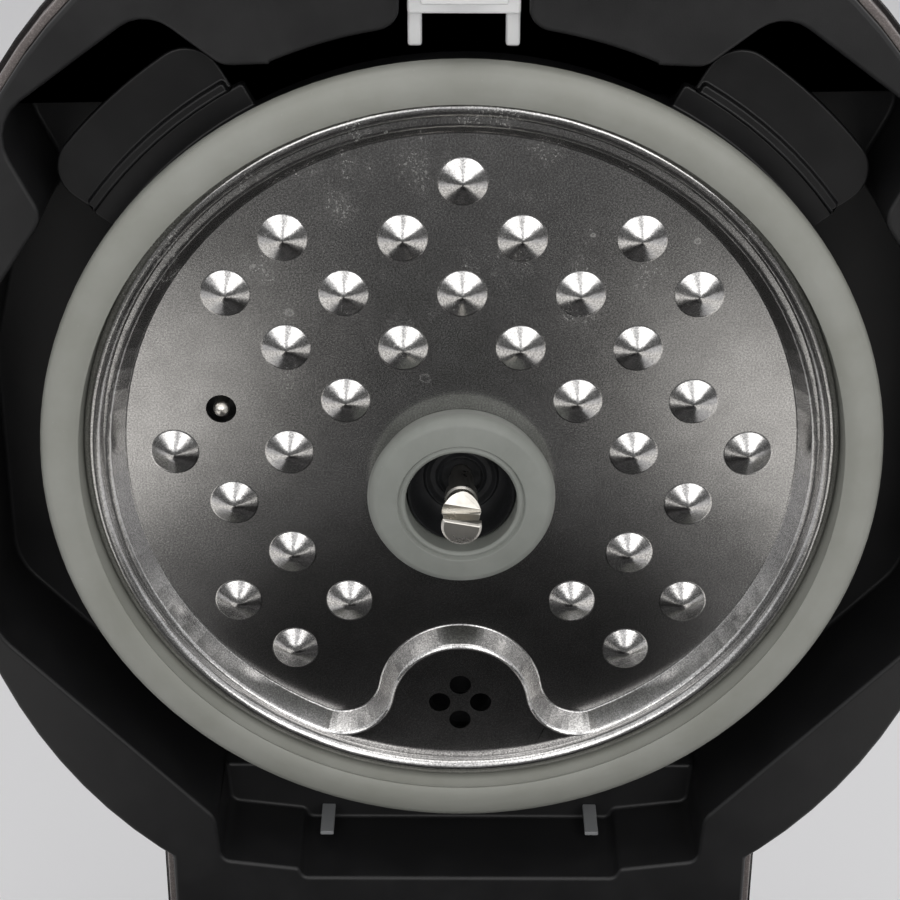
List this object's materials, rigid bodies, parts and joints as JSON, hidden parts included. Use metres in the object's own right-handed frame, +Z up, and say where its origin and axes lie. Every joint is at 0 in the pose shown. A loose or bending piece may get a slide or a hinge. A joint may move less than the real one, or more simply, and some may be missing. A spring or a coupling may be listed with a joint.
{
  "type": "pressure rice cooker",
  "caption": "Countertop induction pressure rice cooker with its hinged lid open, showing a dimpled inner lid plate in a grey gasket, centre grommet, pressure pin, latch and pot.",
  "frame": {"origin": "on the axis of the pot, at the level of the surface the feet stand on", "axes": "+Z up, -Y towards the front with the controls, +X to the right as seen from the front"},
  "size_m": [0.26, 0.3834, 0.4566],
  "materials": {
    "lid_cover": "glossy black-brown",
    "lid_trim": "warm grey satin",
    "lid_liner": "fine-grained black",
    "heat_plate": "plain sheet",
    "inner_lid_clips": "bent strip",
    "inner_lid_plate": "fine matte stainless",
    "gasket": "silicone, satin",
    "inner_lid_carrier": "moulded, satin",
    "center_grommet": "silicone, satin",
    "pin_boot": "rubber",
    "pressure_pin": "turned stainless",
    "solenoid": "wound coil in a frame",
    "lid_sensor_pin": "turned stainless",
    "lid_sensor_base": "moulded",
    "latch": "pressed steel, bright",
    "latch_springs": "wire",
    "release_button": "warm grey satin",
    "steam_pipe": "moulded",
    "steam_cap": "glossy black-brown",
    "hinge_pin": "ground rod",
    "hinge_spring": "wire",
    "inner_pot": "dark non-stick coating",
    "top_frame": "fine-grained black",
    "latch_keeper": "bright plate",
    "outer_shell": "glossy black-brown",
    "bottom_pan": "moulded",
    "feet": "rubber",
    "inner_case": "heat-proof plastic",
    "heating_coil": "enamelled copper wire",
    "coil_carrier": "moulded",
    "ferrite_bars": "ferrite",
    "bottom_probe": "turned",
    "probe_spring": "wire",
    "control_panel": "glossy black",
    "display_window": "clear",
    "control_board": "printed board",
    "menu_button": "soft-touch grey",
    "timer_button": "soft-touch grey",
    "hour_button": "soft-touch grey",
    "minute_button": "soft-touch grey",
    "cancel_button": "soft-touch warm grey",
    "start_button": "soft-touch copper",
    "power_board": "printed board",
    "heat_sink": "extruded",
    "fan_frame": "moulded",
    "fan_rotor": "moulded",
    "power_inlet": "moulded",
    "inlet_pins": "turned",
    "screws": "plated"
  },
  "bodies": {
    "base": {"hinge_pin": "hinge_pin", "hinge_spring": "hinge_spring", "top_frame": "top_frame", "latch_keeper": "latch_keeper", "outer_shell": "outer_shell", "bottom_pan": "bottom_pan", "feet": "feet", "inner_case": "inner_case", "heating_coil": "heating_coil", "coil_carrier": "coil_carrier", "ferrite_bars": "ferrite_bars", "probe_spring": "probe_spring", "control_panel": "control_panel", "display_window": "display_window", "control_board": "control_board", "power_board": "power_board", "heat_sink": "heat_sink", "fan_frame": "fan_frame", "power_inlet": "power_inlet", "inlet_pins": "inlet_pins", "screws": "screws"},
    "lid": {"lid_cover": "lid_cover", "lid_trim": "lid_trim", "lid_liner": "lid_liner", "heat_plate": "heat_plate", "inner_lid_clips": "inner_lid_clips", "pin_boot": "pin_boot", "solenoid": "solenoid", "lid_sensor_base": "lid_sensor_base", "latch_springs": "latch_springs", "steam_pipe": "steam_pipe"},
    "inner_lid": {"inner_lid_plate": "inner_lid_plate", "gasket": "gasket", "inner_lid_carrier": "inner_lid_carrier", "center_grommet": "center_grommet"},
    "pressure_pin_body": {"pressure_pin": "pressure_pin"},
    "sensor_pin_body": {"lid_sensor_pin": "lid_sensor_pin"},
    "latch_body": {"latch": "latch"},
    "release_body": {"release_button": "release_button"},
    "steam_cap_body": {"steam_cap": "steam_cap"},
    "pot": {"inner_pot": "inner_pot"},
    "probe": {"bottom_probe": "bottom_probe"},
    "rotor": {"fan_rotor": "fan_rotor"},
    "menu_button_body": {"menu_button": "menu_button"},
    "timer_button_body": {"timer_button": "timer_button"},
    "hour_button_body": {"hour_button": "hour_button"},
    "minute_button_body": {"minute_button": "minute_button"},
    "cancel_button_body": {"cancel_button": "cancel_button"},
    "start_button_body": {"start_button": "start_button"}
  },
  "joints": [
    {"name": "lid_hinge", "type": "hinge", "parent": "base", "child": "lid", "pos_m": [0, 0.152, 0.155], "axis": [-1, 0, 0], "range_deg": [-90, 0]},
    {"name": "release_press", "type": "slide", "parent": "lid", "child": "release_body", "axis": [0, -1, 0], "range_m": [0, 0.004], "stiffness_N_per_m": 600, "springref_m": -0.002},
    {"name": "latch_slide", "type": "slide", "parent": "lid", "child": "latch_body", "axis": [0, 0, 1], "range_m": [0, 0.005], "deforming": ["latch_springs"]},
    {"name": "inner_lid_pull", "type": "slide", "parent": "lid", "child": "inner_lid", "axis": [0, -1, 0], "range_m": [0, 0.045]},
    {"name": "steam_cap_pull", "type": "slide", "parent": "lid", "child": "steam_cap_body", "axis": [0, 1, 0], "range_m": [0, 0.03]},
    {"name": "pressure_pin_lift", "type": "slide", "parent": "lid", "child": "pressure_pin_body", "axis": [0, 1, 0], "range_m": [0, 0.003], "stiffness_N_per_m": 150, "springref_m": -0.002},
    {"name": "sensor_pin_press", "type": "slide", "parent": "lid", "child": "sensor_pin_body", "axis": [0, 1, 0], "range_m": [0, 0.0015], "stiffness_N_per_m": 150, "springref_m": -0.002},
    {"name": "pot_lift", "type": "slide", "parent": "base", "child": "pot", "axis": [0, 0, 1], "range_m": [0, 0.16]},
    {"name": "probe_press", "type": "slide", "parent": "base", "child": "probe", "axis": [0, 0, -1], "range_m": [0, 0.004], "stiffness_N_per_m": 600, "springref_m": -0.002, "deforming": ["probe_spring"]},
    {"name": "fan_spin", "type": "hinge", "parent": "base", "child": "rotor", "pos_m": [0.046, 0.124, 0.02], "axis": [0, 0, 1], "continuous": true},
    {"name": "menu_press", "type": "slide", "parent": "base", "child": "menu_button_body", "axis": [0, 1, 0], "range_m": [0, 0.0012], "stiffness_N_per_m": 500, "springref_m": -0.0008},
    {"name": "timer_press", "type": "slide", "parent": "base", "child": "timer_button_body", "axis": [0, 1, 0], "range_m": [0, 0.0012], "stiffness_N_per_m": 500, "springref_m": -0.0008},
    {"name": "hour_press", "type": "slide", "parent": "base", "child": "hour_button_body", "axis": [0, 1, 0], "range_m": [0, 0.0012], "stiffness_N_per_m": 500, "springref_m": -0.0008},
    {"name": "minute_press", "type": "slide", "parent": "base", "child": "minute_button_body", "axis": [0, 1, 0], "range_m": [0, 0.0012], "stiffness_N_per_m": 500, "springref_m": -0.0008},
    {"name": "cancel_press", "type": "slide", "parent": "base", "child": "cancel_button_body", "axis": [0, 1, 0], "range_m": [0, 0.0012], "stiffness_N_per_m": 500, "springref_m": -0.0008},
    {"name": "start_press", "type": "slide", "parent": "base", "child": "start_button_body", "axis": [0, 1, 0], "range_m": [0, 0.0012], "stiffness_N_per_m": 500, "springref_m": -0.0008}
  ],
  "couplings": [
    {"joint": "latch_slide", "follows": "release_press", "ratio": 1.25}
  ]
}
